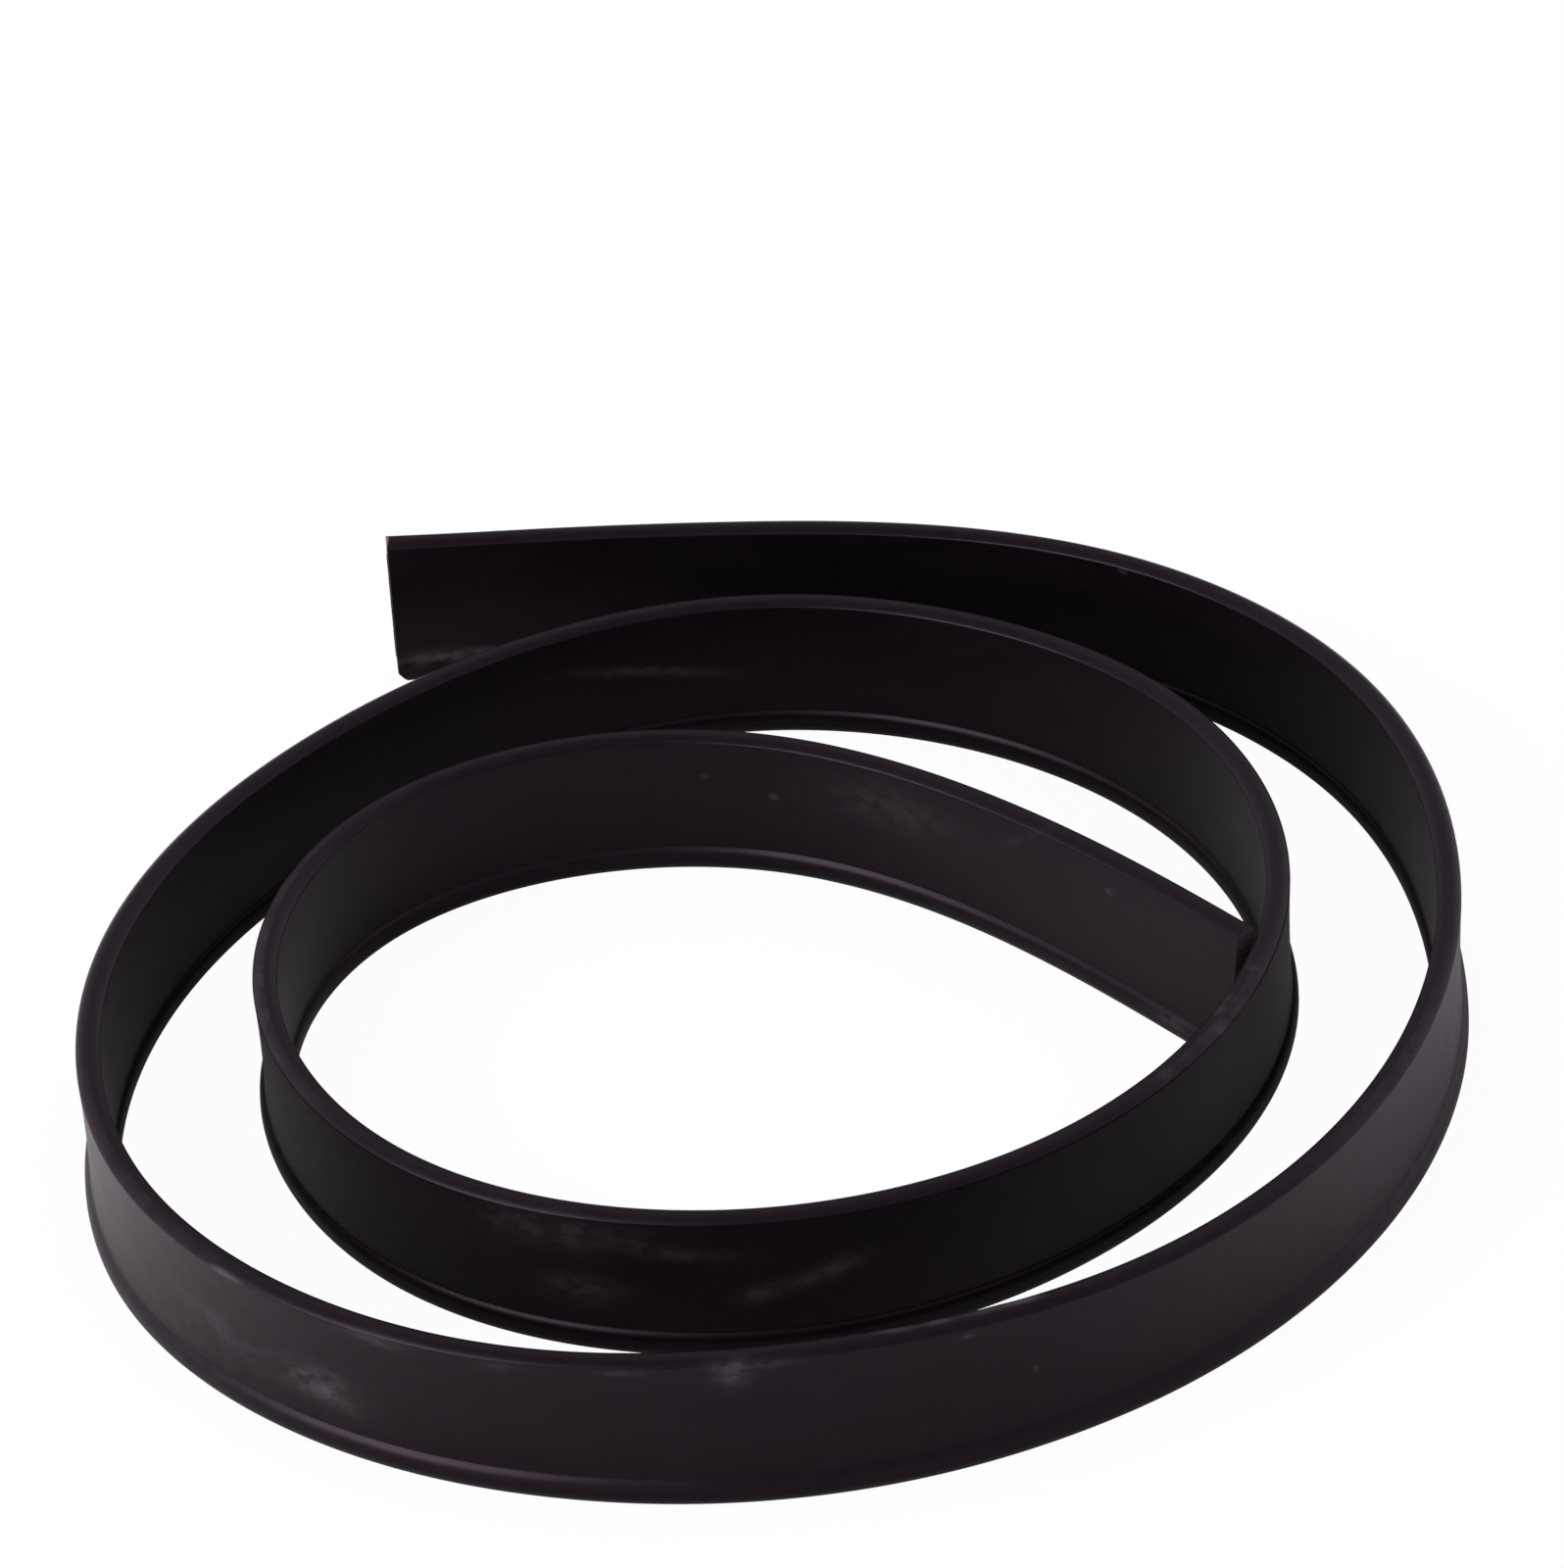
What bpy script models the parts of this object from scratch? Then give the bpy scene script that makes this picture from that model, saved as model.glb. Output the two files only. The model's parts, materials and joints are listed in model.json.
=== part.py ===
"""Flat rubber drive belt, cut to length and stood on its edge in a loose open coil.

The belt is built straight, one bar for each layer of its section, and each bar is then laid
along the coil. Lengths are in millimetres and are turned into metres where vertices are placed.

Seen from above, the belt runs clockwise from its free outer end, which stands clear at the back,
to its inner end, which is tucked against the wall of the middle turn.
"""

import math

import bmesh
import bpy
import numpy as np
from mathutils import Matrix, Vector

MM = 0.001

# Section of the belt: three fabric plies between rubber covers. The upper edge is closed by a
# plain moulded strip, flush with both faces. The lower edge is closed by a round moulded bead
# that stands proud of them.
BELT_WIDTH = 50.0
COVER = 1.2
PLY = 0.9
SKIM = 0.4
LAYER_GAP = 0.25
EDGE_HEIGHT = 7.0
BEAD_HEIGHT = 9.4
BEAD_PROUD = 1.3
EDGE_FLAT = 1.6
EDGE_ROUND_STEPS = 3

# The layers are listed from the outer face of the coil to the inner face.
LAYERS = (
    ("outer_cover", COVER, "cover_rubber"),
    ("outer_ply", PLY, "ply_fabric"),
    ("outer_skim", SKIM, "skim_rubber"),
    ("middle_ply", PLY, "ply_fabric"),
    ("inner_skim", SKIM, "skim_rubber"),
    ("inner_ply", PLY, "ply_fabric"),
    ("inner_cover", COVER, "cover_rubber"),
)
FACE_THICKNESS = sum(depth for _, depth, _ in LAYERS) + LAYER_GAP * (len(LAYERS) - 1)
THICKNESS = FACE_THICKNESS + 2 * BEAD_PROUD

# Route of the belt's middle line: clock angle from the back, in degrees clockwise, and distance
# from the middle of the coil, as a share of its reach. The last point is worked out below, where
# the belt meets itself.
COIL_REACH = 200.0
ROUTE = (
    (-29, 1.21),
    (-15, 1.1075),
    (0, 1.05),
    (30, 1.0625),
    (60, 1.05),
    (90, 1.0125),
    (120, 1.02),
    (150, 1.045),
    (180, 1.085),
    (210, 1.1275),
    (240, 1.1075),
    (270, 0.9925),
    (300, 0.8875),
    (330, 0.8425),
    (360, 0.8375),
    (405, 0.7975),
    (450, 0.76),
    (495, 0.7275),
    (540, 0.7575),
    (585, 0.795),
    (630, 0.76),
    (660, 0.6775),
    (690, 0.55),
    (720, 0.45),
    (750, 0.4025),
    (780, 0.425),
)
TURN = 360.0

# The tucked end meets the wall of the middle turn at this clock angle. The end slants to the
# wall, so its outer corner leads its middle line by a share of half the thickness.
TUCK_ANGLE = 822.0
TUCK_LEAD = 0.62
TUCK_GAP = 0.7

# Flex lines: how much belt swings beyond each, and how far it bends.
FREE_END_LENGTH = 120.0
FREE_END_OUTWARD = 45.0
FREE_END_INWARD = 25.0
TUCKED_END_LENGTH = 150.0
TUCKED_END_INWARD = 60.0
FLEX_GAP = 0.3

SEGMENT = 24.0
ROUTE_SAMPLES = 4000
NEAR = 0.01

FINISHES = {
    "cover_rubber": ((0.013, 0.011, 0.013), 0.42),
    "skim_rubber": ((0.020, 0.018, 0.019), 0.60),
    "ply_fabric": ((0.055, 0.050, 0.046), 0.85),
}


def clear_scene():
    for item in list(bpy.data.objects):
        bpy.data.objects.remove(item, do_unlink=True)


def new_collection(name):
    group = bpy.data.collections.new(name)
    bpy.context.scene.collection.children.link(group)
    return group


def make_material(name):
    colour, roughness = FINISHES[name]
    material = bpy.data.materials.new(name)
    material.use_nodes = True
    shader = material.node_tree.nodes["Principled BSDF"]
    shader.inputs["Base Color"].default_value = (*colour, 1.0)
    shader.inputs["Roughness"].default_value = roughness
    shader.inputs["Metallic"].default_value = 0.0
    return material


def tucked_reach():
    """Reach of the tucked end, just inside the wall of the turn that it meets."""
    angles, shares = zip(*ROUTE)
    wall = np.interp(TUCK_ANGLE - TURN, angles, shares) * COIL_REACH - THICKNESS / 2
    return wall - TUCK_GAP - TUCK_LEAD * THICKNESS / 2


def route_points():
    points = [(angle, share * COIL_REACH) for angle, share in ROUTE]
    points.append((TUCK_ANGLE, tucked_reach()))
    return np.array(
        [
            (reach * math.sin(math.radians(angle)), reach * math.cos(math.radians(angle)))
            for angle, reach in points
        ]
    )


def smooth_through(points, samples):
    """Natural cubic spline through the points, read at even steps of its parameter."""
    steps = np.linalg.norm(np.diff(points, axis=0), axis=1)
    knots = np.concatenate(([0.0], np.cumsum(steps)))
    count = len(points)
    system = np.eye(count)
    right = np.zeros((count, 2))
    slopes = np.diff(points, axis=0) / steps[:, None]
    for i in range(1, count - 1):
        system[i, i - 1 : i + 2] = steps[i - 1], 2 * (steps[i - 1] + steps[i]), steps[i]
        right[i] = 6 * (slopes[i] - slopes[i - 1])
    bends = np.linalg.solve(system, right)
    at = np.linspace(0.0, knots[-1], samples)
    i = np.clip(np.searchsorted(knots, at, side="right") - 1, 0, count - 2)
    after = (at - knots[i])[:, None]
    before = (knots[i + 1] - at)[:, None]
    step = steps[i][:, None]
    return (
        (bends[i] * before**3 + bends[i + 1] * after**3) / (6 * step)
        + (points[i] / step - bends[i] * step / 6) * before
        + (points[i + 1] / step - bends[i + 1] * step / 6) * after
    )


class Route:
    """The laid belt's middle line, read by the length of belt from its free end."""

    def __init__(self):
        line = smooth_through(route_points(), ROUTE_SAMPLES)
        along = np.gradient(line, axis=0)
        along /= np.linalg.norm(along, axis=1)[:, None]
        steps = np.linalg.norm(np.diff(line, axis=0), axis=1)
        self.run = np.concatenate(([0.0], np.cumsum(steps)))
        self.length = self.run[-1]
        self.line = line
        self.outward = np.stack((-along[:, 1], along[:, 0]), axis=1)
        self.line = line - self.middle_of_reach()

    def middle_of_reach(self):
        """Middle of the box round the laid belt, as its straight segments leave it."""
        stations = np.concatenate([span.stations() for span in spans(self.length)])
        faces = [self.place(stations, side * THICKNESS / 2) for side in (-1, 1)]
        corners = np.concatenate(faces)
        return (corners.min(axis=0) + corners.max(axis=0)) / 2

    def place(self, run, offset):
        """Plan position of points at a length along the belt and an offset towards the outside."""
        x, y = (np.interp(run, self.run, self.line[:, axis]) for axis in (0, 1))
        nx, ny = (np.interp(run, self.run, self.outward[:, axis]) for axis in (0, 1))
        return np.stack((x + nx * offset, y + ny * offset), axis=-1)


class Span:
    """A stretch of the belt that moves as one, with the relief cut at each of its ends."""

    def __init__(self, body, start, end, start_relief=None, end_relief=None):
        self.body = body
        self.start = start
        self.end = end
        self.start_relief = start_relief
        self.end_relief = end_relief

    def stations(self):
        return np.linspace(self.start, self.end, self.segments() + 1)

    def segments(self):
        return max(2, round((self.end - self.start) / SEGMENT))


def flex_relief(outward_bend, inward_bend):
    """How far a layer stops short of a flex line, by its offset towards the outside.

    Each face slopes away from the line by half the bend that would close it.
    """

    def short_by(offset):
        bend = outward_bend if offset > 0 else inward_bend
        return FLEX_GAP / 2 + abs(offset) * math.tan(math.radians(bend) / 2)

    return short_by


def spans(length):
    free_relief = flex_relief(FREE_END_OUTWARD, FREE_END_INWARD)
    tucked_relief = flex_relief(0.0, TUCKED_END_INWARD)
    free_line = FREE_END_LENGTH
    tucked_line = length - TUCKED_END_LENGTH
    return (
        Span("free_end", 0.0, free_line, end_relief=free_relief),
        Span("coil", free_line, tucked_line, free_relief, tucked_relief),
        Span("tucked_end", tucked_line, length, start_relief=tucked_relief),
    )


def straight_bar(span, offsets, heights):
    """A straight bar along X, its depth along Y and its height along Z."""
    bar = bmesh.new()
    bmesh.ops.create_cube(bar, size=1.0)
    size = (span.end - span.start, offsets[1] - offsets[0], heights[1] - heights[0])
    middle = ((span.end + span.start) / 2, sum(offsets) / 2, sum(heights) / 2)
    bmesh.ops.scale(bar, vec=size, verts=bar.verts)
    bmesh.ops.translate(bar, vec=middle, verts=bar.verts)
    return bar


def long_edges(bar):
    return [edge for edge in bar.edges if abs(edge.verts[0].co.x - edge.verts[1].co.x) > NEAR]


def bevel_corners(bar, side, width, steps=1):
    """Bevel the two long corners on one side of a bar: 1 is its upper side, -1 its lower one."""
    middle = sum(vert.co.z for vert in bar.verts) / len(bar.verts)
    corners = [edge for edge in long_edges(bar) if (edge.verts[0].co.z - middle) * side > 0]
    bmesh.ops.bevel(bar, geom=corners, offset=width, segments=steps, profile=0.5, affect="EDGES")


def divide(bar, span):
    """Cut the bar into the short lengths that follow the coil, and slope its ends for flexing."""
    bmesh.ops.subdivide_edges(
        bar, edges=long_edges(bar), cuts=span.segments() - 1, use_grid_fill=True
    )
    for vert in bar.verts:
        if span.start_relief and abs(vert.co.x - span.start) < NEAR:
            vert.co.x += span.start_relief(vert.co.y)
        elif span.end_relief and abs(vert.co.x - span.end) < NEAR:
            vert.co.x -= span.end_relief(vert.co.y)


def lay_along(bar, route):
    """Bend the straight bar along the coil."""
    run = np.array([vert.co.x for vert in bar.verts])
    offset = np.array([vert.co.y for vert in bar.verts])
    for vert, (x, y) in zip(bar.verts, route.place(run, offset)):
        vert.co = Vector((x, y, vert.co.z)) * MM


def add_piece(name, bar, route, span, material, group, carrier):
    divide(bar, span)
    lay_along(bar, route)
    mesh = bpy.data.meshes.new(name)
    bar.to_mesh(mesh)
    bar.free()
    mesh.materials.append(material)
    piece = bpy.data.objects.new(name, mesh)
    group.objects.link(piece)
    if carrier:
        piece.parent = carrier
        piece.matrix_parent_inverse = Matrix.Translation(carrier.location).inverted()


def add_flex_line(name, route, run, group):
    """An empty on the upright line that an end of the belt swings about."""
    marker = bpy.data.objects.new(name, None)
    x, y = route.place(run, 0.0)
    marker.location = Vector((x, y, BELT_WIDTH / 2)) * MM
    marker.empty_display_size = BELT_WIDTH * MM
    group.objects.link(marker)
    return marker


def add_layers(route, span, materials, group, carrier):
    """The covers, plies and skims, stacked from the outer face to the inner one."""
    heights = (BEAD_HEIGHT + LAYER_GAP, BELT_WIDTH - EDGE_HEIGHT - LAYER_GAP)
    face = FACE_THICKNESS / 2
    for layer, depth, finish in LAYERS:
        bar = straight_bar(span, (face - depth, face), heights)
        name = f"{span.body}_{layer}"
        add_piece(name, bar, route, span, materials[finish], group, carrier)
        face -= depth + LAYER_GAP


def upper_strip(span):
    """The strip along the upper edge, with its outboard corners rounded."""
    face = FACE_THICKNESS / 2
    bar = straight_bar(span, (-face, face), (BELT_WIDTH - EDGE_HEIGHT, BELT_WIDTH))
    bevel_corners(bar, 1, face - EDGE_FLAT / 2, EDGE_ROUND_STEPS)
    return bar


def lower_bead(span):
    """The bead along the lower edge: chamfered back to the faces above, and rounded below."""
    side = THICKNESS / 2
    bar = straight_bar(span, (-side, side), (0.0, BEAD_HEIGHT))
    bevel_corners(bar, 1, BEAD_PROUD)
    bevel_corners(bar, -1, side - EDGE_FLAT / 2, EDGE_ROUND_STEPS)
    return bar


def add_edges(route, span, materials, group, carrier):
    """The moulded rubber along each edge."""
    for edge, bar in (("lower_edge", lower_bead(span)), ("upper_edge", upper_strip(span))):
        name = f"{span.body}_{edge}"
        add_piece(name, bar, route, span, materials["cover_rubber"], group, carrier)


def build():
    clear_scene()
    group = new_collection("flat_drive_belt")
    materials = {name: make_material(name) for name in FINISHES}
    route = Route()
    free, coil, tucked = spans(route.length)
    free_flex = add_flex_line("free_end_flex", route, free.end, group)
    tucked_flex = add_flex_line("tucked_end_flex", route, tucked.start, group)
    for span, carrier in ((free, free_flex), (coil, None), (tucked, tucked_flex)):
        add_layers(route, span, materials, group, carrier)
        add_edges(route, span, materials, group, carrier)


build()
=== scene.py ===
"""Looks of the coiled flat drive belt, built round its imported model."""

import json
import math

import bpy
import numpy as np
from mathutils import Matrix, Vector


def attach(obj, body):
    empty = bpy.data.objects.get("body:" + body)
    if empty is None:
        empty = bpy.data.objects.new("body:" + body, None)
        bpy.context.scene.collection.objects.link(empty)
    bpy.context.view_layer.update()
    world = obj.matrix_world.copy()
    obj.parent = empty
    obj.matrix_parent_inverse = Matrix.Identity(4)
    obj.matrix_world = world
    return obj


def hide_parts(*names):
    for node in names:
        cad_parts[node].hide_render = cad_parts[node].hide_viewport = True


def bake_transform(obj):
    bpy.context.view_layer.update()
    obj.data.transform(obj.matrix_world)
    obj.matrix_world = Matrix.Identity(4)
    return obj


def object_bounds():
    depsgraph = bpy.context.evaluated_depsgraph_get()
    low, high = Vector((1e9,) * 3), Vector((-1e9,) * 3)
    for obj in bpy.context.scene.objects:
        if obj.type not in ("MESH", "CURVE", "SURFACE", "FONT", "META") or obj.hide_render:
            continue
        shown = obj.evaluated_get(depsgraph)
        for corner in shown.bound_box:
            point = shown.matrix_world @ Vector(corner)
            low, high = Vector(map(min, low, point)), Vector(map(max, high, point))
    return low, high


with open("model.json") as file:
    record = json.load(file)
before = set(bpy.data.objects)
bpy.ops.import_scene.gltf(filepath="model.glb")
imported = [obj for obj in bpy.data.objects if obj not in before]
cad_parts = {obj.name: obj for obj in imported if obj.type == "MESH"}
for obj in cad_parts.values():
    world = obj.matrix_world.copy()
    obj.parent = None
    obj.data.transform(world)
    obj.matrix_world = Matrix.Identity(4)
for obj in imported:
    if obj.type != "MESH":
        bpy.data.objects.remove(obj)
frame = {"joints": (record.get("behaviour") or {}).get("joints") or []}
CAD_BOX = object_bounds()

MM = 0.001

# ---------------------------------------------------------------------------------------------
# Sizes of the belt, in millimetres
# ---------------------------------------------------------------------------------------------

BELT_WIDTH = (CAD_BOX[1].z - CAD_BOX[0].z) / MM

# The plain strip along the upper edge: its rim is a crown with a small corner on each side.
# CROWN_SLOPE is how far the crown has turned over, in degrees, where its corners begin.
EDGE_HEIGHT = 7.0
RIM_DROP = 0.4
RIM_CORNER = 1.0
CROWN_SLOPE = 42.0

# The bead along the lower edge: it stands proud of both faces, is round underneath from a flat
# foot, and an arc brings it back into the face between the two heights of its shoulder.
BEAD_HEIGHT = 9.4
BEAD_PROUD = 1.6
BEAD_ROUND = 4.6
BEAD_FOOT = 1.6
SHOULDER = (5.7, 9.2)
SHOULDER_ARC = 4.6

# How much nearer the middle of the coil the strip's mid height lies than its edges.
CUPPING = 0.8

# Layers from the outer face to the inner one: name, depth, and the finish it shows where it is cut.
LAYERS = (
    ("outer_cover", 1.325, "cover_rubber"),
    ("outer_ply", 1.15, "ply_fabric"),
    ("outer_skim", 0.65, "skim_rubber"),
    ("middle_ply", 1.15, "ply_fabric"),
    ("inner_skim", 0.65, "skim_rubber"),
    ("inner_ply", 1.15, "ply_fabric"),
    ("inner_cover", 1.325, "cover_rubber"),
)
FACE_THICKNESS = sum(depth for _, depth, _ in LAYERS)
THICKNESS = FACE_THICKNESS + 2 * BEAD_PROUD

# Route of the belt's middle line, as the solids have it: clock angle from the back, in degrees
# clockwise, and distance from the middle of the coil, as a share of its reach.
COIL_REACH = 200.0
ROUTE = (
    (-29, 1.21),
    (-15, 1.1075),
    (0, 1.05),
    (30, 1.0625),
    (60, 1.05),
    (90, 1.0125),
    (120, 1.02),
    (150, 1.045),
    (180, 1.085),
    (210, 1.1275),
    (240, 1.1075),
    (270, 0.9925),
    (300, 0.8875),
    (330, 0.8425),
    (360, 0.8375),
    (405, 0.7975),
    (450, 0.76),
    (495, 0.7275),
    (540, 0.7575),
    (585, 0.795),
    (630, 0.76),
    (660, 0.6775),
    (690, 0.55),
    (720, 0.45),
    (750, 0.4025),
    (780, 0.425),
)
TURN = 360.0
# The route ends here, a small gap from the wall of the turn outside it. The end meets that wall
# on a slant, so its middle line lies this share of half its thickness further in.
TUCK_ANGLE = 822.0
TUCK_GAP = 0.7
TUCK_LEAD = 0.62
ROUTE_SAMPLES = 4000

# How far the laid belt stands outside its route: place along it, at the bead and at the rim.
STANCE = (
    (0, -3.0, 3.5),
    (30, -1.0, 1.0),
    (70, 0.0, -0.3),
    (130, 0.0, 0.8),
    (220, 0.0, 0.0),
    (310, 0.6, 0.9),
    (420, 0.0, 0.3),
    (480, 0.5, -0.2),
    (560, -1.0, -0.8),
    (655, -1.0, -0.5),
    (700, -0.7, -1.9),
    (730, -0.3, -3.4),
    (800, -0.4, -3.3),
    (840, -1.0, -1.8),
    (885, -1.0, -0.9),
    (970, 0.0, -0.5),
    (1050, 0.0, -0.2),
    (1110, -0.1, 0.8),
    (1180, 0.3, 0.4),
    (1250, 0.0, -0.9),
    (1350, 0.0, 0.0),
    (1480, 0.0, 0.5),
    (1560, -0.4, 1.8),
    (1640, -0.1, -0.3),
    (1720, -0.3, -0.2),
    (1790, -1.6, 0.0),
    (1870, -1.6, -1.6),
    (1960, -1.3, -0.9),
    (2040, -1.1, -0.3),
    (2120, -0.8, -0.8),
    (2200, -0.4, -0.4),
    (2280, -0.9, -0.6),
    (2350, 0.2, -0.6),
    (2400, 0.2, 0.2),
    (2450, -0.3, 1.6),
    (2520, -0.7, 2.8),
)

# The free end's flex line lies this far from its cut: the route is shifted to put that place on
# the model's free_end_flex joint.
FREE_END_LENGTH = 120.0
# The outer length is joined to the middle one here, and the middle one to the inner one. Both
# places are clear of the flex lines.
OUTER_JOIN = 330.0
INNER_JOIN_BEFORE_TUCK = 400.0

# Spacing of the meshes: along the covers and edges, along the hidden layers, and near a cut end.
STEP = 2.0
HIDDEN_STEP = 10.0
CUT_STEP = 0.4
CUT_REACH = 6.0
# Rungs up a layer between the moulded edges. A hidden layer shows its yarns where it is cut.
COVER_RUNGS = 25
HIDDEN_RUNGS = 81
# An edge of a mesh that turns by more than this is sharp, in degrees.
SHARP_TURN = 40.0


# ---------------------------------------------------------------------------------------------
# Route
# ---------------------------------------------------------------------------------------------


def tucked_reach():
    angles, shares = zip(*ROUTE)
    wall = np.interp(TUCK_ANGLE - TURN, angles, shares) * COIL_REACH - THICKNESS / 2
    return wall - TUCK_GAP - TUCK_LEAD * THICKNESS / 2


def route_points():
    points = [(angle, share * COIL_REACH) for angle, share in ROUTE]
    points.append((TUCK_ANGLE, tucked_reach()))
    return np.array(
        [
            (reach * math.sin(math.radians(angle)), reach * math.cos(math.radians(angle)))
            for angle, reach in points
        ]
    )


def smooth_through(points, samples):
    """Natural cubic spline through the points, read at even steps of its parameter."""
    steps = np.linalg.norm(np.diff(points, axis=0), axis=1)
    knots = np.concatenate(([0.0], np.cumsum(steps)))
    count = len(points)
    system = np.eye(count)
    right = np.zeros(points.shape)
    slopes = np.diff(points, axis=0) / steps[:, None]
    for i in range(1, count - 1):
        system[i, i - 1 : i + 2] = steps[i - 1], 2 * (steps[i - 1] + steps[i]), steps[i]
        right[i] = 6 * (slopes[i] - slopes[i - 1])
    bends = np.linalg.solve(system, right)
    at = np.linspace(0.0, knots[-1], samples)
    i = np.clip(np.searchsorted(knots, at, side="right") - 1, 0, count - 2)
    after = (at - knots[i])[:, None]
    before = (knots[i + 1] - at)[:, None]
    step = steps[i][:, None]
    return (
        (bends[i] * before**3 + bends[i + 1] * after**3) / (6 * step)
        + (points[i] / step - bends[i] * step / 6) * before
        + (points[i + 1] / step - bends[i + 1] * step / 6) * after
    )


class Route:
    """The belt's middle line, read by the length of belt from its free end."""

    def __init__(self):
        line = smooth_through(route_points(), ROUTE_SAMPLES)
        along = np.gradient(line, axis=0)
        along /= np.linalg.norm(along, axis=1)[:, None]
        steps = np.linalg.norm(np.diff(line, axis=0), axis=1)
        self.run = np.concatenate(([0.0], np.cumsum(steps)))
        self.length = self.run[-1]
        self.stance = smooth_through(np.array(STANCE), ROUTE_SAMPLES)
        self.along = along
        joint = next(j for j in frame["joints"] if j["name"] == "free_end_flex")
        flex = np.array(joint["pos_m"][:2]) / MM
        self.line = line + flex - self.read(line, FREE_END_LENGTH)

    def lean(self, run, height):
        """How far a point stands outside the route, by its height on the belt."""
        low, high = (np.interp(run, self.stance[:, 0], self.stance[:, k]) for k in (1, 2))
        return low + (high - low) * height / BELT_WIDTH

    def read(self, values, run):
        return np.stack([np.interp(run, self.run, values[:, axis]) for axis in (0, 1)], axis=-1)

    def middle(self, run):
        return self.read(self.line, run)

    def direction(self, run):
        return self.read(self.along, run)

    def outward(self, run):
        along = self.direction(run)
        return np.stack((-along[..., 1], along[..., 0]), axis=-1)


route = Route()
END = route.length
INNER_JOIN = END - INNER_JOIN_BEFORE_TUCK


# ---------------------------------------------------------------------------------------------
# How the straight belt is laid: cupping across its width, wear of its edges, cut ends
# ---------------------------------------------------------------------------------------------


def smoothstep(value):
    value = np.clip(value, 0.0, 1.0)
    return value * value * (3 - 2 * value)


def corner(from_edge, radius):
    """How far a rounded corner stands back, by the distance from the edge it rounds."""
    inside = np.clip(radius - from_edge, 0.0, radius)
    return radius - np.sqrt(radius**2 - inside**2)


# The ends are shaped over this length. Each stands back from the solids' cut, or on past it where
# the setback is below 0.
SHAPED_LENGTH = 24.0
FREE_SETBACK = 0.8
FREE_CLIP_HEIGHT = 5.0
FREE_CLIP_SLOPE = 0.75
FREE_TOP_CORNER = 2.2
TUCKED_SETBACK = -0.9
TEAR_SLANT = 0.35
BITE_HEIGHT = 44.0
BITE_REACH = 1.5
BITE_DEPTH = 0.5
TUCKED_LOWER_CORNER = 1.8
TUCKED_TOP_CORNER = 0.6


def free_end_setback(height):
    """The outer end is cut square, with its lower corner clipped and its top corner rounded."""
    clipped = FREE_CLIP_SLOPE * np.clip(FREE_CLIP_HEIGHT - height, 0.0, FREE_CLIP_HEIGHT)
    return FREE_SETBACK + clipped + corner(BELT_WIDTH - height, FREE_TOP_CORNER)


def tucked_end_setback(height, offset):
    """The inner end was torn on a slant: it wanders, and a bite is gone near its top."""
    wander = 0.15 * np.sin(height * 0.9) + 0.08 * np.sin(height * 2.3 + 1.0)
    bite = BITE_DEPTH * np.exp(-(((height - BITE_HEIGHT) / BITE_REACH) ** 2))
    slant = TEAR_SLANT * (offset - FACE_THICKNESS / 2)
    rounding = corner(height, TUCKED_LOWER_CORNER) + corner(BELT_WIDTH - height, TUCKED_TOP_CORNER)
    return slant + TUCKED_SETBACK + wander + bite + rounding


def shaped_run(run, height, offset):
    """Length along the belt of a point after the ends are shaped."""
    near_free = smoothstep(1 - run / SHAPED_LENGTH)
    near_tuck = smoothstep(1 - (END - run) / SHAPED_LENGTH)
    tucked = tucked_end_setback(height, offset)
    return run + free_end_setback(height) * near_free - tucked * near_tuck


# Nicks in the top edge: place along the belt, length and depth.
NICKS = (
    (706.0, 5.0, 0.15),
    (719.0, 3.0, 0.25),
    (727.0, 4.0, 0.20),
    (739.0, 6.0, 0.30),
    (792.0, 3.0, 0.20),
    (1712.0, 4.0, 0.12),
    (1727.0, 3.0, 0.10),
    (1756.0, 4.0, 0.10),
)
# A nick fades out between these depths below the top edge.
NICK_FADE = (0.5, 3.5)


def edge_wear(run, height):
    """Drop of the top edge at its nicks."""
    shallow, deep = NICK_FADE
    near_top = smoothstep((height - BELT_WIDTH + deep) / (deep - shallow))
    drop = 0.0
    for place, length, depth in NICKS:
        drop = drop + depth * np.exp(-(((run - place) / length) ** 2))
    return drop * near_top


def cut_face(run):
    """Whether each point lies on one of the belt's two cut ends."""
    return (run < CUT_STEP / 2) | (run > END - CUT_STEP / 2)


def lay(run, offset, height):
    """Place of a point of the straight belt once it is coiled, in metres."""
    at = shaped_run(run, height, offset)
    across = (height - BELT_WIDTH / 2) / (BELT_WIDTH / 2)
    side = offset + CUPPING * (across**2 - 0.5) + route.lean(run, height)
    plan = route.middle(at) + route.outward(at) * side[..., None]
    up = height - edge_wear(run, height)
    return np.concatenate((plan, up[..., None]), axis=-1) * MM


# ---------------------------------------------------------------------------------------------
# Marks on the faces
# ---------------------------------------------------------------------------------------------

OUTER = 1.0
INNER = -1.0
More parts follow.
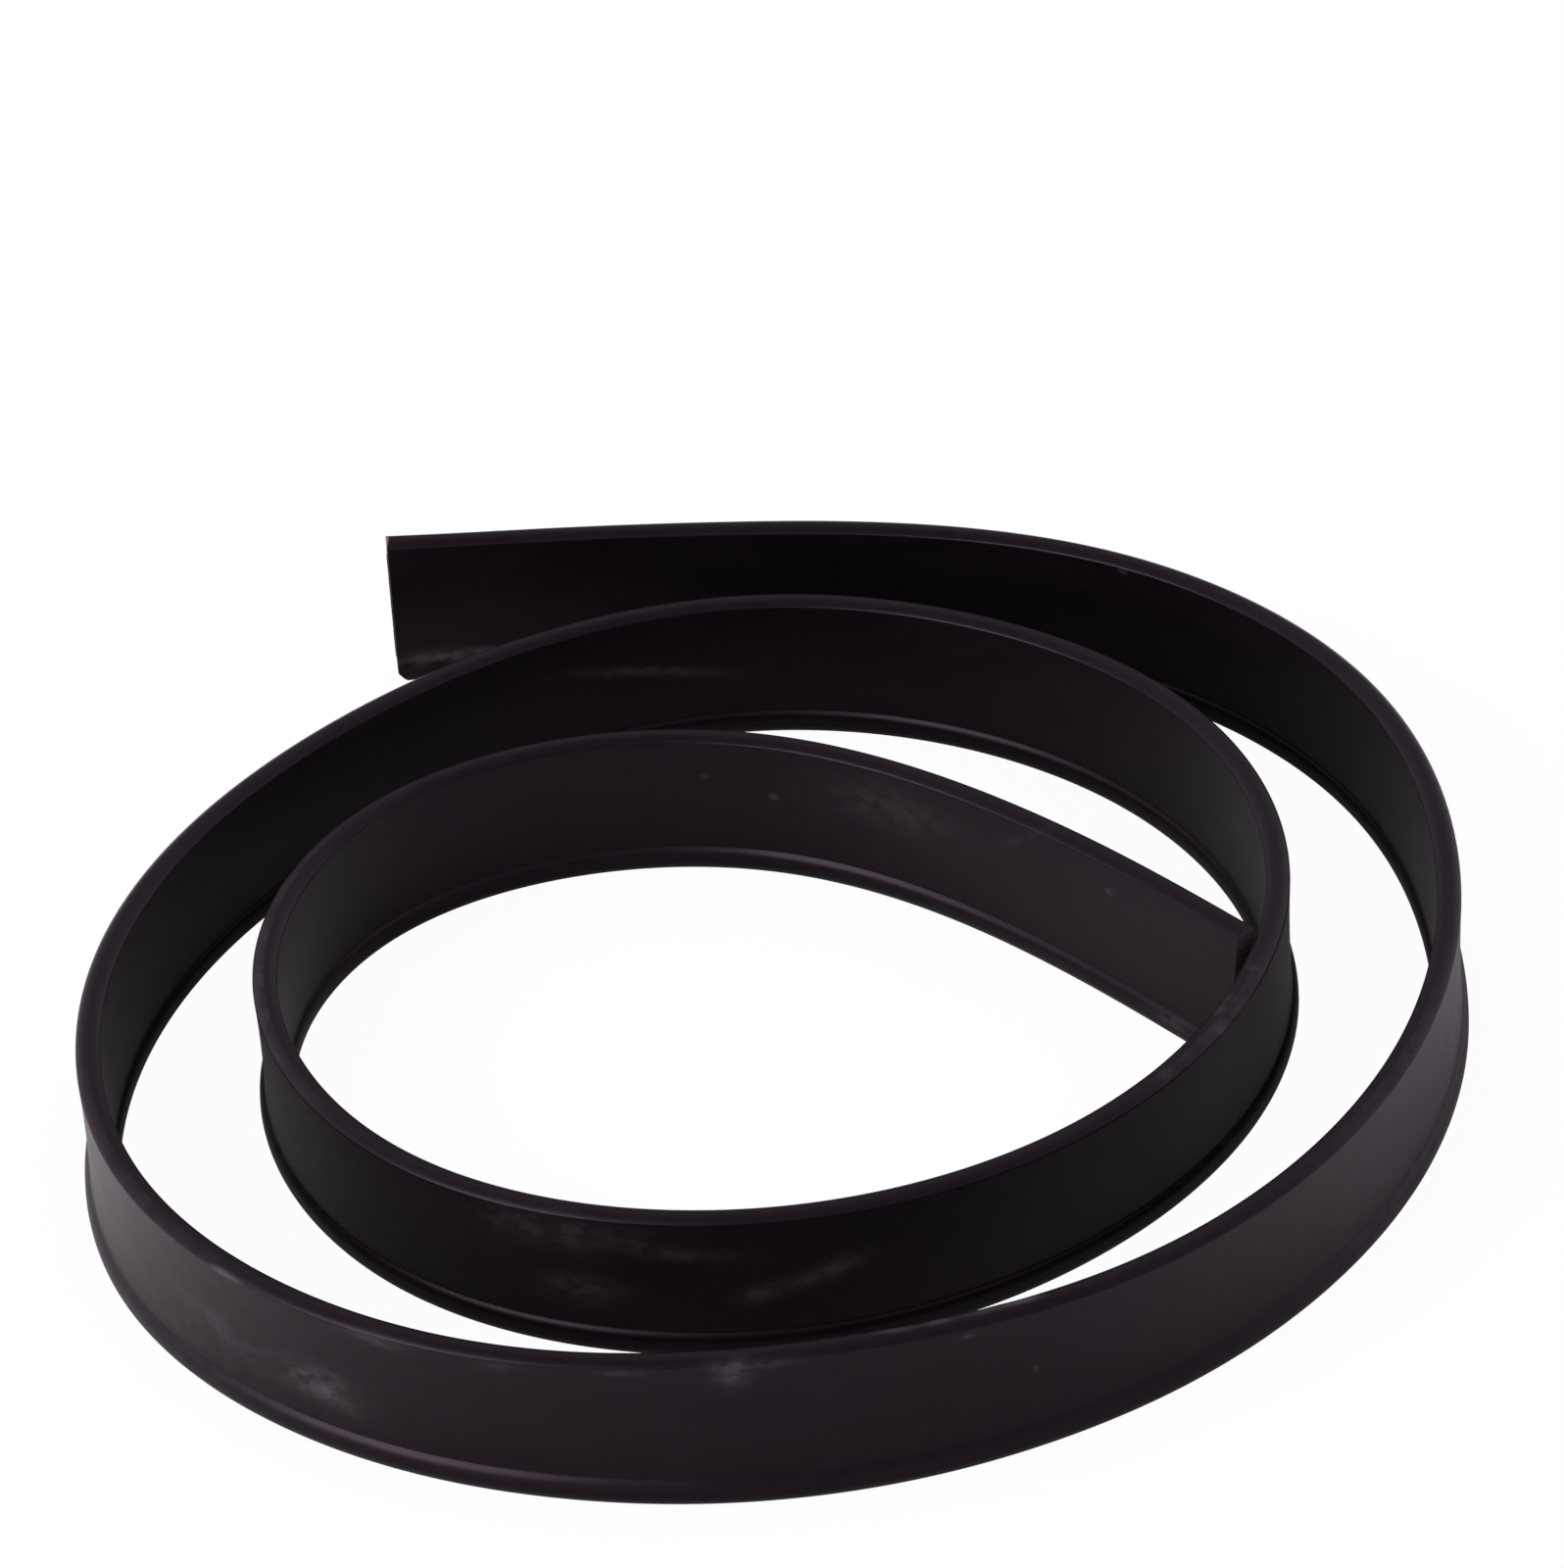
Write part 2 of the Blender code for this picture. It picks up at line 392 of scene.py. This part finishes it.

# Patches of dust and of painted light. Each: face, place along the belt, height, half length, half
# height, slope, strength.
PATCHES_OF_DUST_AND_SHEEN = (
    # Painted sheen: these three lighten broad stretches of the outer faces.
    (OUTER, 1015.0, 25.0, 75.0, 40.0, 0.0, 0.28),
    (OUTER, 550.0, 25.0, 45.0, 40.0, 0.0, 0.45),
    (OUTER, 2110.0, 25.0, 60.0, 40.0, 0.0, 0.5),
    # Painted reflection: a grazing sheen on the middle turn's outer face.
    (OUTER, 1725.0, 34.0, 26.0, 22.0, 0.0, 0.6),
    # Dust and smudges.
    (OUTER, 917.0, 21.5, 12.0, 4.5, 0.15, 1.0),
    (OUTER, 912.0, 27.0, 8.0, 4.0, 0.0, 0.35),
    (OUTER, 955.0, 26.0, 14.0, 4.0, 0.2, 0.35),
    (OUTER, 896.0, 46.5, 9.0, 1.8, 0.0, 0.55),
    (OUTER, 857.0, 46.0, 7.0, 1.5, 0.0, 0.35),
    (OUTER, 792.0, 44.5, 5.0, 3.5, 0.0, 0.9),
    (OUTER, 786.0, 47.5, 10.0, 1.2, 0.0, 0.6),
    (OUTER, 822.0, 46.5, 6.0, 1.0, 0.0, 0.5),
    (OUTER, 1950.0, 42.0, 24.0, 6.0, 0.0, 0.35),
    (OUTER, 1915.0, 37.5, 12.0, 2.2, 0.1, 0.45),
    (OUTER, 1945.0, 22.0, 11.0, 4.5, 0.0, 0.4),
    (OUTER, 1893.0, 22.5, 6.0, 2.6, -0.3, 0.5),
    (OUTER, 1873.0, 28.0, 11.0, 3.0, -0.3, 0.55),
    # Painted highlight on the bead's shoulder near the free end.
    (INNER, 16.0, 8.6, 26.0, 2.0, 0.0, 0.6),
    # Dust.
    (INNER, 2376.0, 36.0, 22.0, 8.0, 0.0, 0.3),
    # Painted reflection: a short bright streak.
    (INNER, 1362.0, 29.5, 20.0, 1.4, -0.2, 0.7),
    # A faint crease line.
    (INNER, 2425.0, 42.0, 12.0, 1.2, 0.7, 0.25),
    # Painted highlight on the tucked end's bead.
    (INNER, 2491.0, 6.5, 8.0, 2.0, 0.0, 0.5),
)

# Each fleck, in millimetres: place along the belt, height, offset, half length, half height,
# half depth, strength. The four along the rim from 705 to 744 are a painted reflection of the rim.
FLECKS_AND_GLINTS = (
    # Painted reflection of the rim.
    (744.0, 49.0, -0.8, 9.0, 1.8, 1.8, 0.18),
    (731.0, 49.0, -0.8, 6.0, 1.8, 1.8, 0.24),
    (716.0, 49.0, -1.0, 14.0, 1.8, 1.7, 0.19),
    (705.0, 49.0, -1.0, 7.0, 1.8, 1.7, 0.32),
    # Pale flecks.
    (724.5, 45.5, 3.7, 3.0, 1.2, 2.0, 0.12),
    (705.0, 28.0, 3.7, 1.4, 2.0, 2.0, 0.08),
    (948.0, 47.8, 3.5, 9.0, 1.3, 2.0, 0.30),
    (1699.0, 49.0, 0.0, 2.5, 1.5, 3.0, 0.10),
    (1715.0, 49.0, -2.0, 3.0, 1.5, 2.5, 0.12),
    (1721.0, 49.0, -1.5, 3.5, 1.5, 2.5, 0.14),
    (1729.0, 48.5, 2.5, 3.0, 1.5, 2.5, 0.12),
    (1756.0, 48.8, 1.0, 5.0, 1.5, 2.5, 0.12),
    (2462.0, 39.5, -3.7, 2.4, 1.8, 2.0, 0.13),
    (2335.0, 30.5, -3.7, 2.2, 1.6, 2.0, 0.13),
    (2313.0, 36.0, -3.7, 2.0, 1.4, 2.0, 0.09),
    (242.0, 46.8, -3.6, 2.6, 1.2, 2.0, 0.13),
)

# A fleck fades out at this many times its half sizes, and its rim is broken up by this much.
FLECK_EDGE = 1.25
FLECK_RAGGED = 0.5


def marked(marks, run, offset, height):
    """How strongly the marks cover each point."""
    cover = np.zeros_like(run)
    for face, place, level, length, tall, slope, strength in marks:
        rise = height - level - slope * (run - place)
        spot = np.exp(-(((run - place) / length) ** 2) - (rise / tall) ** 2)
        cover += strength * spot * (offset * face > 0)
    return np.clip(cover, 0.0, 1.0)


# ---------------------------------------------------------------------------------------------
# Meshes: a piece is a ladder of rungs across the section, carried along the belt
# ---------------------------------------------------------------------------------------------

# Rungs round the bead's underside, over its shoulder, over half the rim's crown, round a corner
# of the rim, and down the side of the upper strip.
ROUND_RUNGS = 14
SHOULDER_RUNGS = 15
CROWN_RUNGS = 6
CORNER_RUNGS = 6
SIDE_RUNGS = 5
# Straight side left between the bead's round and its shoulder, and depth at which the upper
# strip's side begins.
BEAD_SIDE = 0.8
STRIP_SIDE = 2.5


def face_offset(height):
    """How far the belt's face stands off its middle, where the lower bead rounds into it."""
    low, high = SHOULDER
    up = np.clip(height, low, high) - low
    proud = BEAD_PROUD - SHOULDER_ARC + math.sqrt(SHOULDER_ARC**2 - up**2)
    return FACE_THICKNESS / 2 + max(proud, 0.0)


def two_sided(rungs):
    """Rungs with the same shape on both faces: outer offset, inner offset and height."""
    return [(float(offset), -float(offset), float(height)) for offset, height in rungs]


def lower_bead_rungs():
    """The lower bead: a flat foot, a round up to its side, and a shoulder into the face."""
    side = FACE_THICKNESS / 2 + BEAD_PROUD
    foot = BEAD_FOOT / 2
    turns = np.radians(np.linspace(0.0, 90.0, ROUND_RUNGS))
    rungs = list(zip(foot + (side - foot) * np.sin(turns), BEAD_ROUND * (1 - np.cos(turns))))
    heights = np.linspace(SHOULDER[0] - BEAD_SIDE, BEAD_HEIGHT, SHOULDER_RUNGS)
    rungs += [(face_offset(height), height) for height in heights]
    return two_sided(rungs)


def upper_strip_rungs():
    """The upper strip: its rim is slightly crowned, with a small corner on each side."""
    face = FACE_THICKNESS / 2
    slope = math.radians(CROWN_SLOPE)
    radius = (face - RIM_CORNER) / math.sin(slope) + RIM_CORNER
    over = np.linspace(0.01, slope, CROWN_RUNGS)
    rungs = list(zip(radius * np.sin(over), radius * (1 - np.cos(over))))
    centre = radius - (radius - RIM_CORNER) * math.cos(slope)
    for turn in np.linspace(slope, math.pi / 2, CORNER_RUNGS + 1)[1:]:
        across = face - RIM_CORNER * (1 - math.sin(turn))
        rungs.append((across, centre - RIM_CORNER * math.cos(turn)))
    rungs = [(offset, height + RIM_DROP) for offset, height in rungs]
    rungs += [(face, height) for height in np.linspace(STRIP_SIDE, EDGE_HEIGHT, SIDE_RUNGS)]
    return two_sided((offset, BELT_WIDTH - height) for offset, height in reversed(rungs))


def layer_rungs(outer, depth, count):
    """Rungs of a layer between the moulded edges."""
    heights = np.linspace(BEAD_HEIGHT, BELT_WIDTH - EDGE_HEIGHT, count)
    return [(outer, outer - depth, float(height)) for height in heights]


def stations(start, end, step):
    """Places along the belt, closer together where it is cut."""
    places = list(np.linspace(start, end, max(2, round((end - start) / step)) + 1))
    fine = np.arange(CUT_STEP, CUT_REACH, CUT_STEP)
    if start == 0.0:
        places += list(fine)
    if end == END:
        places += list(END - fine)
    return np.unique(np.round(places, 4))


def ladder_faces(count, rungs):
    """Faces round the sides and over both ends of a piece."""
    loop = 2 * rungs
    faces = []
    for i in range(count - 1):
        for k in range(loop):
            near = i * loop + k
            beside = i * loop + (k + 1) % loop
            faces.append((near, near + loop, beside + loop, beside))
    last = (count - 1) * loop
    for k in range(rungs - 1):
        quad = (k, k + 1, loop - 2 - k, loop - 1 - k)
        faces.append(quad)
        faces.append(tuple(last + vertex for vertex in reversed(quad)))
    return faces


def build_piece(name, rungs, places, material, cut_shape=None):
    """A closed piece of the belt between the first and last of its places."""
    outer = [(offset, height) for offset, _, height in rungs]
    inner = [(offset, height) for _, offset, height in reversed(rungs)]
    section = np.array(outer + inner)
    run = np.repeat(places, len(section))
    offset = np.tile(section[:, 0], len(places))
    height = np.tile(section[:, 1], len(places))
    if cut_shape:
        run = run + cut_shape(run, height)
    mesh = bpy.data.meshes.new(name)
    mesh.from_pydata(lay(run, offset, height), [], ladder_faces(len(places), len(rungs)))
    mesh.shade_smooth()
    write_attribute(mesh, "lay", np.stack((run, height, offset), axis=1) * MM)
    write_attribute(mesh, "dust_and_sheen", marked(PATCHES_OF_DUST_AND_SHEEN, run, offset, height))
    write_attribute(mesh, "cut", cut_face(np.repeat(places, len(section))) * 1.0)
    mesh.set_sharp_from_angle(angle=math.radians(SHARP_TURN))
    mesh.materials.append(material)
    piece = bpy.data.objects.new(name, mesh)
    bpy.context.scene.collection.objects.link(piece)
    return piece


def write_attribute(mesh, name, values):
    kind, field = ("FLOAT_VECTOR", "vector") if values.ndim == 2 else ("FLOAT", "value")
    attribute = mesh.attributes.new(name, kind, "POINT")
    attribute.data.foreach_set(field, values.astype(np.float32).ravel())


# ---------------------------------------------------------------------------------------------
# Finishes
# ---------------------------------------------------------------------------------------------


class Value:
    """A socket in an expression: each operator on it adds one Math node."""

    def __init__(self, shader, socket):
        self.shader = shader
        self.socket = socket

    def __add__(self, other):
        return self.shader.maths("ADD", self, other)

    def __sub__(self, other):
        return self.shader.maths("SUBTRACT", self, other)

    def __mul__(self, other):
        return self.shader.maths("MULTIPLY", self, other)

    def __pow__(self, other):
        return self.shader.maths("POWER", self, other)

    def __rsub__(self, other):
        return self.shader.maths("SUBTRACT", other, self)

    __radd__ = __add__
    __rmul__ = __mul__


class Nodes:
    """The nodes of a material or of the world."""

    def __init__(self, owner):
        owner.use_nodes = True
        self.tree = owner.node_tree

    def feed(self, socket, value):
        if isinstance(value, Value):
            self.tree.links.new(value.socket, socket)
        else:
            socket.default_value = value

    def node(self, kind, inputs=None, output=0, stops=None, **settings):
        made = self.tree.nodes.new(kind)
        for name, value in settings.items():
            setattr(made, name, value)
        if stops:
            self.set_stops(made.color_ramp.elements, stops)
        for key, value in (inputs or {}).items():
            self.feed(made.inputs[key], value)
        return Value(self, made.outputs[output])

    def maths(self, operation, first, second):
        return self.node("ShaderNodeMath", {0: first, 1: second}, operation=operation)

    def vectors(self, operation, first, second):
        """A vector from two others, which a Math node would turn into one number."""
        return self.node("ShaderNodeVectorMath", {0: first, 1: second}, operation=operation)

    def set_stops(self, elements, stops):
        while len(elements) < len(stops):
            elements.new(1.0)
        for element, (place, level) in zip(elements, stops):
            element.position = place
            element.color = (level, level, level, 1.0)

    def ramp(self, value, *stops):
        return self.node("ShaderNodeValToRGB", {"Fac": value}, stops=stops)


class Shader(Nodes):
    """A material's nodes, round the one Principled BSDF that it already has."""

    def __init__(self, name, **surface):
        self.material = bpy.data.materials.new(name)
        super().__init__(self.material)
        self.surface = self.tree.nodes["Principled BSDF"]
        for socket, value in surface.items():
            self.surface.inputs[socket.replace("_", " ")].default_value = value

    def number(self, name):
        return self.node("ShaderNodeAttribute", output="Fac", attribute_name=name)

    def place(self, stretch=(1.0, 1.0, 1.0)):
        """Place on the straight belt in metres: along it, up it, and through it."""
        laid = self.node("ShaderNodeAttribute", output="Vector", attribute_name="lay")
        return self.vectors("MULTIPLY", laid, stretch)

    def noise(self, at, scale, detail=3.0, roughness=0.5):
        inputs = {"Vector": at, "Scale": scale, "Detail": detail, "Roughness": roughness}
        return self.node("ShaderNodeTexNoise", inputs)

    def flecks(self, marks, ragged):
        """How strongly small marks cover the surface: each fades from its middle outwards."""
        cover = 0.0
        for *place, length, tall, deep, strength in marks:
            middle = tuple(along * MM for along in place)
            scale = tuple(1 / (reach * MM) for reach in (length, tall, deep))
            apart = self.vectors("SUBTRACT", self.place(), middle)
            apart = self.vectors("MULTIPLY", apart, scale)
            away = self.node("ShaderNodeVectorMath", {0: apart}, "Value", operation="LENGTH")
            near = self.maths("MAXIMUM", FLECK_EDGE - away - ragged * FLECK_RAGGED, 0.0)
            cover = near * strength + cover
        return cover

    def blend(self, share, first, second):
        inputs = {0: share, 6: (*first, 1.0) if isinstance(first, tuple) else first}
        inputs[7] = (*second, 1.0) if isinstance(second, tuple) else second
        return self.node("ShaderNodeMix", inputs, output=2, data_type="RGBA")

    def show_backdrop(self, seen_share, mirrored_share):
        """Lift a floor towards plain white where it is seen, and leave its light alone."""
        path = self.tree.nodes.new("ShaderNodeLightPath")
        mirrored = Value(self, path.outputs["Is Glossy Ray"])
        mirrored = mirrored + Value(self, path.outputs["Is Transmission Ray"])
        seen = Value(self, path.outputs["Is Camera Ray"])
        white = self.tree.nodes.new("ShaderNodeEmission")
        mixed = self.tree.nodes.new("ShaderNodeMixShader")
        self.feed(mixed.inputs[0], seen * seen_share + mirrored * mirrored_share)
        self.tree.links.new(self.surface.outputs[0], mixed.inputs[1])
        self.tree.links.new(white.outputs[0], mixed.inputs[2])
        output = self.tree.nodes["Material Output"]
        self.tree.links.new(mixed.outputs[0], output.inputs["Surface"])

    def finish(self, colour=None, roughness=None, bump=None, depth=0.0001):
        if colour:
            self.feed(self.surface.inputs["Base Color"], colour)
        if roughness:
            self.feed(self.surface.inputs["Roughness"], roughness)
        if bump:
            normal = self.node("ShaderNodeBump", {"Height": bump, "Distance": depth})
            self.feed(self.surface.inputs["Normal"], normal)
        return self.material


BLACK = (0.0010, 0.0005, 0.0009)
# The dust colour also paints sheen and highlights on some patches; the raw rubber colour shows on
# cut faces and paints a reflection along the rim.
DUST_AND_SHEEN_COLOUR = (0.115, 0.100, 0.112)
RAW_RUBBER_AND_GLINT = (0.125, 0.102, 0.114)
CRUMB_DARK = (0.010, 0.009, 0.010)
CRUMB_PALE = (0.030, 0.027, 0.028)
YARN_DARK = (0.008, 0.007, 0.007)
YARN_PALE = (0.040, 0.035, 0.032)
SHEEN = (1.0, 0.74, 0.95, 1.0)


def cover_rubber():
    """Smooth black rubber with a thin film of dust, soft smudges, a few pale nicks, and painted
    sheen, highlights and reflections.
    """
    shader = Shader("cover_rubber", Specular_IOR_Level=0.12, Specular_Tint=SHEEN)
    mottle = shader.noise(shader.place((1.0, 2.0, 3.0)), scale=38.0, detail=4.0, roughness=0.6)
    streaks = shader.noise(shader.place((0.12, 3.0, 1.0)), scale=260.0, roughness=0.6)
    breakup = shader.noise(shader.place((1.0, 1.6, 1.0)), scale=170.0, detail=4.0, roughness=0.6)
    grain = shader.noise(shader.place(), scale=3200.0, detail=2.0)
    # The patches hold painted sheen, painted highlights and a painted reflection streak besides
    # dust.
    dust_and_sheen_patch = shader.number("dust_and_sheen") * shader.ramp(breakup, (0.36, 0.2), (0.62, 1.0))
    film = shader.ramp(mottle, (0.35, 0.0), (0.75, 1.0)) * 0.008
    lines = shader.ramp(streaks, (0.52, 0.0), (0.72, 1.0)) * 0.005
    dust_and_sheen_cover = film + lines + dust_and_sheen_patch * 0.26
    # The flecks include a painted reflection along the rim; cut faces show raw rubber.
    bare_and_glint = shader.flecks(FLECKS_AND_GLINTS, breakup) + shader.number("cut") * 0.35
    colour = shader.blend(bare_and_glint, shader.blend(dust_and_sheen_cover, BLACK, DUST_AND_SHEEN_COLOUR), RAW_RUBBER_AND_GLINT)
    roughness = 0.32 + mottle * 0.08 + dust_and_sheen_cover * 0.6
    bump = grain * 0.15 + streaks * 0.06 + breakup * 0.15
    return shader.finish(colour, roughness, bump, depth=0.00006)


def skim_rubber():
    """The crumbly rubber between the plies, seen only where it is cut."""
    shader = Shader("skim_rubber", Specular_IOR_Level=0.2)
    crumbs = shader.noise(shader.place(), scale=1400.0)
    colour = shader.blend(crumbs, CRUMB_DARK, CRUMB_PALE)
    return shader.finish(colour, 0.5 + crumbs * 0.3, crumbs, depth=0.0002)


def ply_fabric():
    """Woven cloth soaked in rubber, seen only where it is cut."""
    shader = Shader("ply_fabric", Specular_IOR_Level=0.15)
    yarns = shader.node(
        "ShaderNodeTexWave",
        {"Vector": shader.place((0.0, 1.0, 0.0)), "Scale": 160.0, "Distortion": 1.5},
        output="Fac",
        bands_direction="Y",
    )
    fibre = shader.noise(shader.place((0.3, 1.0, 1.0)), scale=5200.0)
    colour = shader.blend(yarns * 0.6 + fibre * 0.4, YARN_DARK, YARN_PALE)
    return shader.finish(colour, 0.75 + fibre * 0.2, yarns + fibre * 0.4, depth=0.0003)


MATERIALS = {
    "cover_rubber": cover_rubber(),
    "skim_rubber": skim_rubber(),
    "ply_fabric": ply_fabric(),
}


# ---------------------------------------------------------------------------------------------
# The belt
# ---------------------------------------------------------------------------------------------

YARN_PITCH = 0.9


def yarn_ends(run, height):
    """Cut yarns of a ply stand a little proud, each one by its own length."""
    away = np.where(run < END / 2, -1.0, 1.0)
    yarn = np.abs(np.sin(height * math.pi / YARN_PITCH))
    proud = 0.18 * yarn + 0.12 * np.sin(height * 5.3) ** 2
    return cut_face(run) * away * proud


def flexing(piece):
    """Bake the piece's placement into its mesh; the piece is attached to no body."""
    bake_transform(piece)


def belt_lengths():
    """The three lengths the belt's pieces are built in: name, start, end, and CAD body."""
    return (
        ("outer_length", 0.0, OUTER_JOIN, "free_end"),
        ("middle_length", OUTER_JOIN, INNER_JOIN, "coil"),
        ("inner_length", INNER_JOIN, END, "tucked_end"),
    )


def section_pieces():
    """Every piece of the section: name, rungs, spacing along the belt, finish, cut shape."""
    pieces = [
        ("lower_edge", lower_bead_rungs(), STEP, "cover_rubber", None),
        ("upper_edge", upper_strip_rungs(), STEP, "cover_rubber", None),
    ]
    outer = FACE_THICKNESS / 2
    for name, depth, finish in LAYERS:
        step = STEP if finish == "cover_rubber" else HIDDEN_STEP
        count = COVER_RUNGS if finish == "cover_rubber" else HIDDEN_RUNGS
        cut_shape = yarn_ends if finish == "ply_fabric" else None
        pieces.append((name, layer_rungs(outer, depth, count), step, finish, cut_shape))
        outer -= depth
    return pieces


def build_belt():
    for part, rungs, step, finish, cut_shape in section_pieces():
        for length, start, end, body in belt_lengths():
            places = stations(start, end, step)
            name = f"{length}_{part}"
            piece = build_piece(name, rungs, places, MATERIALS[finish], cut_shape)
            if body == "free_end":
                flexing(piece)
            elif body == "tucked_end":
                flexing(piece)
            else:
                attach(piece, body)
            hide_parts(f"{body}_{part}")


build_belt()


# ---------------------------------------------------------------------------------------------
# Floor, light and camera
# ---------------------------------------------------------------------------------------------

FLOOR_SIZE = 6.0
FLOOR_LEVEL = -0.0002
FLOOR_WHITE = 0.92
# Painted shade: the floor's colour darkens between the turns. How far it looks for a wall, and how
# strongly.
SHADE_REACH = 0.09
SHADE_POWER = 0.9
# How white the floor shows to the eye, and in a gloss that mirrors it.
SEEN_WHITE = 0.97
MIRRORED_WHITE = 0.03


def floor():
    shader = Shader("floor_white", Specular_IOR_Level=0.0, Roughness=1.0)
    reach = {"Distance": SHADE_REACH}
    # Painted shade between the turns, from ambient occlusion.
    painted_shade_factor = shader.node("ShaderNodeAmbientOcclusion", reach, output="AO", samples=8)
    shader.finish(painted_shade_factor**SHADE_POWER * FLOOR_WHITE)
    shader.show_backdrop(SEEN_WHITE, MIRRORED_WHITE)
    far = FLOOR_SIZE
    corners = [(x, y, FLOOR_LEVEL) for x, y in ((-far, -far), (far, -far), (far, far), (-far, far))]
    mesh = bpy.data.meshes.new("floor")
    mesh.from_pydata(corners, [], [(0, 1, 2, 3)])
    mesh.materials.append(shader.material)
    plane = bpy.data.objects.new("floor", mesh)
    bpy.context.scene.collection.objects.link(plane)


def softbox(name, place, aim, width, height, watts):
    data = bpy.data.lights.new(name, "AREA")
    data.shape = "RECTANGLE"
    data.size = width
    data.size_y = height
    data.energy = watts
    lamp = bpy.data.objects.new(name, data)
    lamp.location = place
    lamp.rotation_euler = (Vector(aim) - Vector(place)).to_track_quat("-Z", "Y").to_euler()
    bpy.context.scene.collection.objects.link(lamp)


# The studio's glow, by the sine of the height looked at, and by the direction: from the camera's
# side of the belt at 0 to behind it at 1. It is never weaker than GLOW_LEAST.
GLOW_BY_HEIGHT = ((0.0, 0.8), (0.25, 1.0), (0.5, 0.9), (0.7, 0.75), (0.88, 0.6), (1.0, 0.5))
GLOW_BY_SIDE = ((0.0, 0.45), (0.25, 0.65), (0.5, 0.9), (0.75, 0.9), (0.88, 0.75), (0.97, 0.15))
GLOW_STRENGTH = 1.75
GLOW_LEAST = 0.04
GLOW_COLOUR = (1.0, 0.91, 1.03, 1.0)


def studio():
    world = bpy.data.worlds.new("studio")
    bpy.context.scene.world = world
    walls = Nodes(world)
    towards = walls.node("ShaderNodeTexCoord", output="Generated")
    height = walls.node("ShaderNodeSeparateXYZ", {0: towards}, output="Z")
    behind = walls.node("ShaderNodeSeparateXYZ", {0: towards}, output="Y")
    side = walls.ramp(behind * 0.5 + 0.5, *GLOW_BY_SIDE)
    glow = walls.ramp(height, *GLOW_BY_HEIGHT) * side * GLOW_STRENGTH + GLOW_LEAST
    background = walls.tree.nodes["Background"]
    walls.feed(background.inputs["Color"], GLOW_COLOUR)
    walls.feed(background.inputs["Strength"], glow)
    softbox("left_softbox", (-1.9, -1.4, 1.4), (0, 0, 0), width=1.8, height=1.7, watts=98.0)


# Where the camera stands and what it looks at, in degrees and metres, and its lens, in millimetres.
CAMERA_ELEVATION = 34.584
CAMERA_ROLL = -3.548
CAMERA_DISTANCE = 2.7616
CAMERA_TARGET = Vector((0.0058, 0.1373, 0.0))
LENS = 200.74
SENSOR_WIDTH = 36.0


def camera():
    elevation = math.radians(CAMERA_ELEVATION)
    roll = math.radians(CAMERA_ROLL)
    forward = Vector((0.0, math.cos(elevation), -math.sin(elevation)))
    level_right = Vector((1.0, 0.0, 0.0))
    level_up = Vector((0.0, math.sin(elevation), math.cos(elevation)))
    right = math.cos(roll) * level_right + math.sin(roll) * level_up
    up = -math.sin(roll) * level_right + math.cos(roll) * level_up
    data = bpy.data.cameras.new("camera")
    data.sensor_width = SENSOR_WIDTH
    data.lens = LENS
    view = bpy.data.objects.new("camera", data)
    turn = Matrix((right, up, -forward)).transposed().to_4x4()
    place = CAMERA_TARGET - forward * CAMERA_DISTANCE
    view.matrix_world = Matrix.Translation(place) @ turn
    bpy.context.scene.collection.objects.link(view)
    bpy.context.scene.camera = view


floor()
studio()
camera()
bpy.context.scene.view_settings.view_transform = "Standard"
